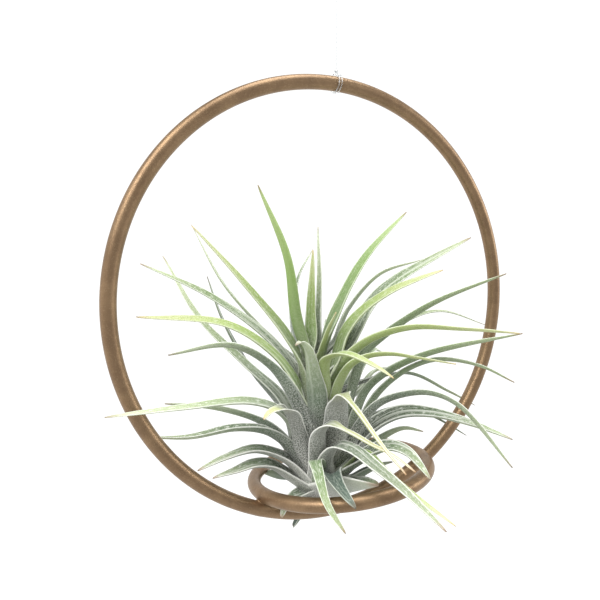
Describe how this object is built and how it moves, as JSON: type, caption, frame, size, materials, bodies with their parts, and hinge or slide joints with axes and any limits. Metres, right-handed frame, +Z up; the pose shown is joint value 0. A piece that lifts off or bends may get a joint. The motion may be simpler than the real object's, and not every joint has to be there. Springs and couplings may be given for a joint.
{
  "type": "air plant in a hanging hoop",
  "caption": "Narrow-leaved air plant resting in a small welded ring inside a large upright hoop of gold-bronze rod, hung from a clear line tied round the top.",
  "frame": {"origin": "top of the hoop's rod, where its line holds it", "axes": "+Z up, the hoop stands in the XZ plane, -Y is the front, where the folded leaves hang over the small ring"},
  "size_m": [0.1524, 0.1122, 0.1995],
  "materials": {
    "gold_bronze": "fine-grained metallic gold-bronze paint, satin",
    "clear_line": "clear nylon monofilament",
    "stem": "dry, matt, covered with old leaf bases",
    "leaf_pale": "young yellow-green leaf, soft sheen, straw-coloured tip",
    "leaf_green": "green leaf with pale edges and a fine bloom",
    "leaf_grey": "silver-grey leaf covered with fine scales, matt",
    "leaf_dark": "dark green older leaf with scattered grey scales, matt"
  },
  "bodies": {
    "root": {"hoop": "gold_bronze", "cradle_ring": "gold_bronze", "weld_left": "gold_bronze", "weld_right": "gold_bronze", "line_wrap": "clear_line", "hanging_line": "clear_line", "stem": "stem", "leaf_tall_upright": "leaf_green", "leaf_pale_upright": "leaf_pale", "leaf_grey_upright": "leaf_grey", "leaf_back_arc": "leaf_grey", "leaf_right_upright": "leaf_green", "leaf_young_centre": "leaf_pale", "leaf_thin_right": "leaf_grey", "leaf_red_tip": "leaf_green", "leaf_mid_right": "leaf_pale", "leaf_over_hoop_right": "leaf_green", "leaf_thin_arch": "leaf_grey", "leaf_long_arch": "leaf_pale", "leaf_brown_tip": "leaf_pale", "leaf_low_over_hoop": "leaf_green", "leaf_white_edge_arch": "leaf_green", "leaf_thin_behind": "leaf_grey", "leaf_grey_behind": "leaf_grey", "leaf_right_drop": "leaf_grey", "leaf_dark_thin": "leaf_dark", "leaf_grey_spread": "leaf_grey", "leaf_short_dark": "leaf_dark", "leaf_speckled": "leaf_grey", "leaf_dark_stub": "leaf_dark", "leaf_left_tall": "leaf_pale", "leaf_left_thin": "leaf_grey", "leaf_left_third": "leaf_green", "leaf_left_bright": "leaf_pale", "leaf_left_droop": "leaf_grey", "leaf_left_fine": "leaf_green", "leaf_left_blue": "leaf_dark", "leaf_long_left": "leaf_pale", "leaf_left_back": "leaf_grey", "leaf_left_mid": "leaf_grey", "leaf_left_low": "leaf_grey", "leaf_left_lowest": "leaf_grey", "leaf_under_dark": "leaf_dark", "leaf_yellow_arch": "leaf_pale", "leaf_broad_front": "leaf_grey", "leaf_yellow_end": "leaf_grey", "leaf_folded_low": "leaf_grey", "leaf_yellow_curl": "leaf_grey", "leaf_front_long": "leaf_grey", "leaf_front_pale": "leaf_pale", "leaf_front_hang": "leaf_green", "leaf_front_dark": "leaf_dark", "leaf_broad_stub": "leaf_grey", "leaf_tip_front": "leaf_dark", "leaf_tip_below": "leaf_dark", "leaf_back_small": "leaf_grey", "leaf_back_high": "leaf_grey", "leaf_back_right": "leaf_green", "leaf_back_left": "leaf_grey", "leaf_back_low": "leaf_dark"}
  },
  "joints": []
}
